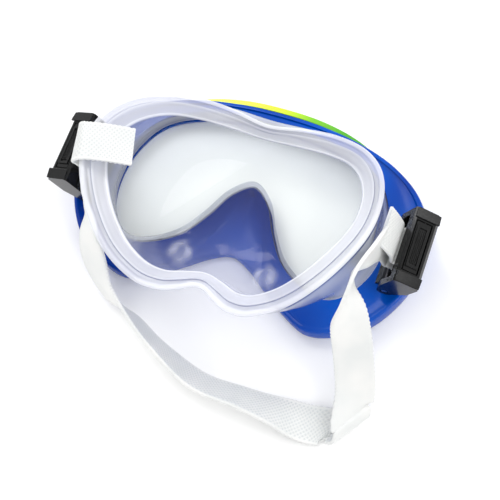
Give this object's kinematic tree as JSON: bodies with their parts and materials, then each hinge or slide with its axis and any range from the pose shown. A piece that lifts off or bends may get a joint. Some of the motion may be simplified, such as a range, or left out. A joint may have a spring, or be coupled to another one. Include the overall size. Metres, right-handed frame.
{
  "type": "diving mask",
  "caption": "Single-lens diving mask with a clear skirt and nose pocket, a rigid frame with a brow trim, a flat head strap and swivelling strap buckles.",
  "frame": {"origin": "centre of the flat land on the front of the nose cover, which is the lowest plane when the mask lies on its front", "axes": "+X to the wearer's right, +Y to the forehead, +Z from the lens towards the face"},
  "size_m": [0.1846, 0.1561, 0.0713],
  "materials": {
    "frame_plastic": "moulded gloss",
    "trim_plastic": "moulded gloss",
    "lens_glass": "polished tempered",
    "skirt_plastic": "clear moulded gloss",
    "strap_plastic": "satin, cross-hatched on the head side",
    "buckle_plastic": "moulded gloss",
    "pin_steel": "ground"
  },
  "bodies": {
    "root": {"frame": "frame_plastic", "front_bezel": "frame_plastic", "lens": "lens_glass", "skirt": "skirt_plastic", "brow_trim": "trim_plastic", "strap": "strap_plastic", "left_hinge_bracket": "buckle_plastic", "left_hinge_pin": "pin_steel", "right_hinge_bracket": "buckle_plastic", "right_hinge_pin": "pin_steel"},
    "left_buckle": {"left_buckle_body": "buckle_plastic", "left_roller_pin": "pin_steel", "left_lever_pin": "pin_steel", "left_lever_spring": "pin_steel"},
    "left_roller": {"left_strap_roller": "buckle_plastic"},
    "left_release": {"left_release_lever": "buckle_plastic"},
    "right_buckle": {"right_buckle_body": "buckle_plastic", "right_roller_pin": "pin_steel", "right_lever_pin": "pin_steel", "right_lever_spring": "pin_steel"},
    "right_roller": {"right_strap_roller": "buckle_plastic"},
    "right_release": {"right_release_lever": "buckle_plastic"}
  },
  "joints": [
    {"name": "left_buckle_swivel", "type": "hinge", "parent": "root", "child": "left_buckle", "pos_m": [-0.077, -0.004, 0.017], "axis": [0, 1, 0], "range_deg": [-38, 22], "deforming": ["strap"]},
    {"name": "left_roller_turn", "type": "hinge", "parent": "left_buckle", "child": "left_roller", "pos_m": [-0.08107, -0.004, 0.02613], "axis": [0, 1, 0], "continuous": true},
    {"name": "left_release_press", "type": "hinge", "parent": "left_buckle", "child": "left_release", "pos_m": [-0.08654, -0.004, 0.03399], "axis": [0, 1, 0], "range_deg": [0, 6], "stiffness_Nm_per_rad": 0.05, "deforming": ["left_lever_spring"]},
    {"name": "right_buckle_swivel", "type": "hinge", "parent": "root", "child": "right_buckle", "pos_m": [0.077, -0.004, 0.017], "axis": [0, -1, 0], "range_deg": [-38, 22], "deforming": ["strap"]},
    {"name": "right_roller_turn", "type": "hinge", "parent": "right_buckle", "child": "right_roller", "pos_m": [0.08107, -0.004, 0.02613], "axis": [0, 1, 0], "continuous": true},
    {"name": "right_release_press", "type": "hinge", "parent": "right_buckle", "child": "right_release", "pos_m": [0.08654, -0.004, 0.03399], "axis": [0, -1, 0], "range_deg": [0, 6], "stiffness_Nm_per_rad": 0.05, "deforming": ["right_lever_spring"]}
  ]
}
